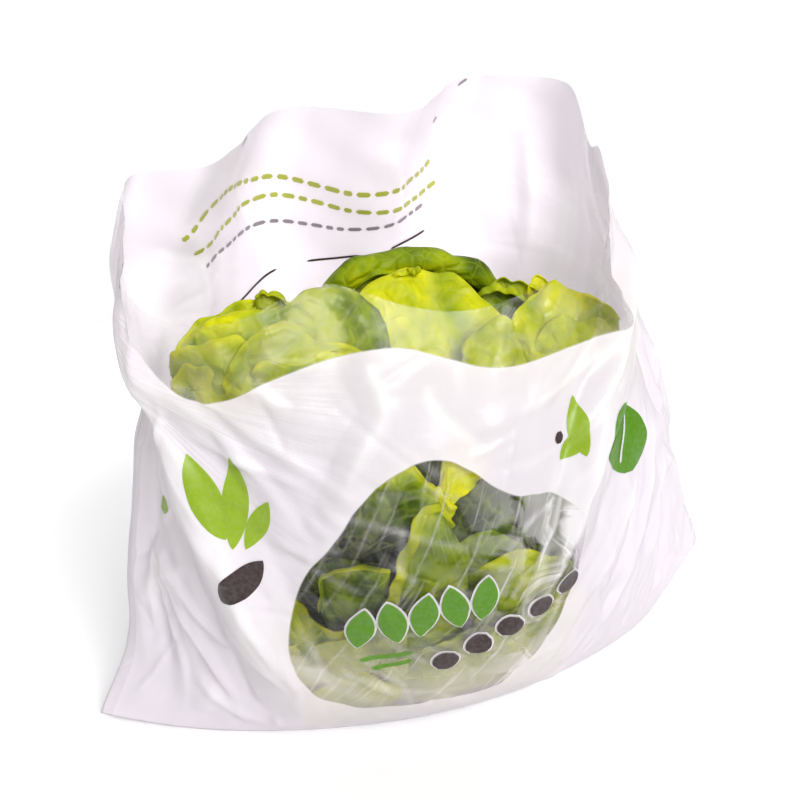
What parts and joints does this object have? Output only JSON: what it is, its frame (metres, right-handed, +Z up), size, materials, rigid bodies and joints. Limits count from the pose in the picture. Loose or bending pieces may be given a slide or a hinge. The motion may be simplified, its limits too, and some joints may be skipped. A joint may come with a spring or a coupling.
{
  "type": "packed butterhead lettuce",
  "caption": "Standing, open-mouthed film bag with a low front lip and a high waved back lip, holding a head of soft-leaf lettuce.",
  "frame": {"origin": "on the floor under the middle of the bag, on its flat bottom", "axes": "+Z up, +X along the bag's width to the right seen from the front, -Y out of the front panel"},
  "size_m": [0.344, 0.2094, 0.2813],
  "materials": {
    "film": "thin glossy film printed white, with clear fields",
    "leaf": "smooth soft leaf, slightly waxy"
  },
  "bodies": {
    "root": {"bag_film": "film", "lettuce_head": "leaf"}
  },
  "joints": []
}
